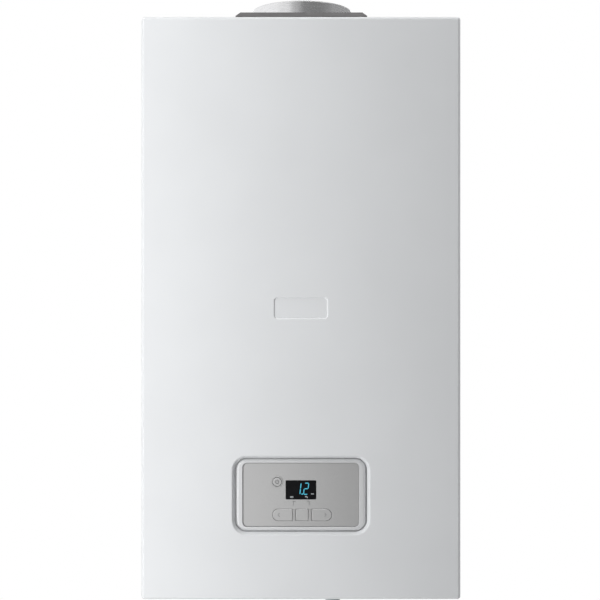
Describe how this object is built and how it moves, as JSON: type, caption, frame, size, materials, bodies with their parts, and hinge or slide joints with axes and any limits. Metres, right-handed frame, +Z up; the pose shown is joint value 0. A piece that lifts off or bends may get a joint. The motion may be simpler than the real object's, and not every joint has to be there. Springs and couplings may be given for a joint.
{
  "type": "wall-hung condensing gas boiler",
  "caption": "Tall white box-shaped gas boiler for wall mounting, with a lift-off front cover, recessed control panel, coaxial flue collar on its roof and pipe connections below.",
  "frame": {"origin": "on the wall plane, midway between the two wall bolts", "axes": "+X to the right as seen from the front, +Y into the wall, +Z up; the front faces -Y"},
  "size_m": [0.4, 0.3, 0.802],
  "materials": {
    "white_enamel": "satin",
    "zinc_sheet": "satin",
    "grey_foam": "matte",
    "flue_grey": "matte",
    "collar_alloy": "satin",
    "flue_white": "satin",
    "seal_rubber": "matte",
    "cell_plastic": "satin",
    "stainless": "satin",
    "cast_alloy": "matte",
    "ceramic": "satin",
    "motor_black": "satin",
    "moulded_black": "matte",
    "gas_steel": "satin",
    "copper": "satin",
    "brass": "satin",
    "vessel_red": "gloss",
    "black_hose": "matte",
    "pump_cast": "matte",
    "actuator_grey": "satin",
    "knob_red": "satin",
    "trap_grey": "satin",
    "bezel_silver": "satin",
    "fascia_silver": "satin",
    "screen_black": "gloss",
    "board_green": "satin",
    "button_silver": "satin"
  },
  "bodies": {
    "boiler": {"air_collar": "collar_alloy", "air_silencer": "moulded_black", "back_frame": "zinc_sheet", "bottom_panel": "white_enamel", "burner": "stainless", "burner_door": "cast_alloy", "cable_gland": "moulded_black", "condensate_hose": "black_hose", "condensate_trap": "trap_grey", "control_bezel": "bezel_silver", "control_box": "moulded_black", "control_carrier": "zinc_sheet", "control_fascia": "fascia_silver", "cover_gasket": "grey_foam", "display_board": "board_green", "display_screen": "screen_black", "diverter_actuator": "actuator_grey", "door_nuts": "zinc_sheet", "electrodes": "ceramic", "exchanger_core": "stainless", "exchanger_flow_pipe": "copper", "exchanger_return_pipe": "copper", "exchanger_shell": "cell_plastic", "expansion_vessel": "vessel_red", "fan_housing": "cast_alloy", "fan_motor": "motor_black", "flow_block": "moulded_black", "flue_base": "flue_grey", "flue_base_screws": "zinc_sheet", "flue_duct": "flue_white", "flue_seal": "seal_rubber", "flue_socket": "flue_white", "gas_feed_pipe": "gas_steel", "gas_supply_pipe": "gas_steel", "gas_valve": "cast_alloy", "heating_stubs": "brass", "left_side_panel": "white_enamel", "mixture_duct": "cast_alloy", "mounting_brackets": "zinc_sheet", "plate_exchanger": "stainless", "pump_housing": "pump_cast", "pump_motor": "motor_black", "relief_valve": "brass", "return_block": "moulded_black", "right_side_panel": "white_enamel", "tap_water_pipes": "copper", "top_panel": "white_enamel", "venturi": "cast_alloy", "vessel_hose": "black_hose", "wall_bracket": "zinc_sheet"},
    "cover": {"front_cover": "white_enamel", "cover_studs": "zinc_sheet"},
    "fan_wheel": {"fan_impeller": "motor_black"},
    "pump_wheel": {"pump_impeller": "motor_black"},
    "diverter": {"diverter_spindle": "brass"},
    "relief_cap": {"relief_knob": "knob_red"},
    "reset_key": {"reset_button": "button_silver"},
    "left_key": {"left_button": "button_silver"},
    "centre_key": {"centre_button": "button_silver"},
    "right_key": {"right_button": "button_silver"}
  },
  "joints": [
    {"name": "cover_pull", "type": "slide", "parent": "boiler", "child": "cover", "axis": [0, -1, 0], "range_m": [0, 0.35]},
    {"name": "fan_spin", "type": "hinge", "parent": "boiler", "child": "fan_wheel", "pos_m": [-0.1009, -0.23, -0.01], "axis": [0, 1, 0], "continuous": true},
    {"name": "pump_spin", "type": "hinge", "parent": "boiler", "child": "pump_wheel", "pos_m": [0.132, -0.12, -0.542], "axis": [0, 1, 0], "continuous": true},
    {"name": "diverter_shift", "type": "slide", "parent": "boiler", "child": "diverter", "axis": [0, 1, 0], "range_m": [0, 0.006]},
    {"name": "relief_turn", "type": "hinge", "parent": "boiler", "child": "relief_cap", "pos_m": [-0.117, -0.197, -0.572], "axis": [0, -1, 0], "range_deg": [0, 90]},
    {"name": "reset_press", "type": "slide", "parent": "boiler", "child": "reset_key", "axis": [0, 1, 0], "range_m": [0, 0.0012], "stiffness_N_per_m": 1200},
    {"name": "left_press", "type": "slide", "parent": "boiler", "child": "left_key", "axis": [0, 1, 0], "range_m": [0, 0.0012], "stiffness_N_per_m": 1200},
    {"name": "centre_press", "type": "slide", "parent": "boiler", "child": "centre_key", "axis": [0, 1, 0], "range_m": [0, 0.0012], "stiffness_N_per_m": 1200},
    {"name": "right_press", "type": "slide", "parent": "boiler", "child": "right_key", "axis": [0, 1, 0], "range_m": [0, 0.0012], "stiffness_N_per_m": 1200}
  ]
}
